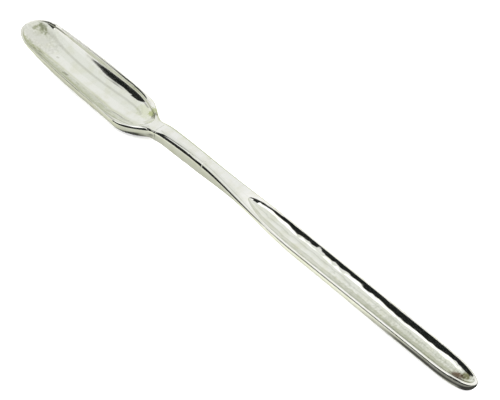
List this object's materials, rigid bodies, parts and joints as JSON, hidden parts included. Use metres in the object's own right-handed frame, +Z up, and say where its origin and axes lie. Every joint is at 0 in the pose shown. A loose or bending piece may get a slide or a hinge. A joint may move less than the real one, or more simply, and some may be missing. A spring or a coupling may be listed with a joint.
{
  "type": "marrow scoop",
  "caption": "Double-ended silver marrow scoop: a wide bowl and a long narrow channelled scoop on one arched bar stem, for lifting marrow out of large and small bones.",
  "frame": {"origin": "on the table, under the middle of the whole length", "axes": "+X along the length towards the narrow scoop's tip, +Y across, +Z up out of the hollows"},
  "size_m": [0.2256, 0.0178, 0.0103],
  "materials": {
    "silver": "polished",
    "solder": "polished"
  },
  "bodies": {
    "root": {"wide_bowl": "silver", "bowl_solder": "solder", "stem": "silver", "scoop_solder": "solder", "narrow_scoop": "silver"}
  },
  "joints": []
}
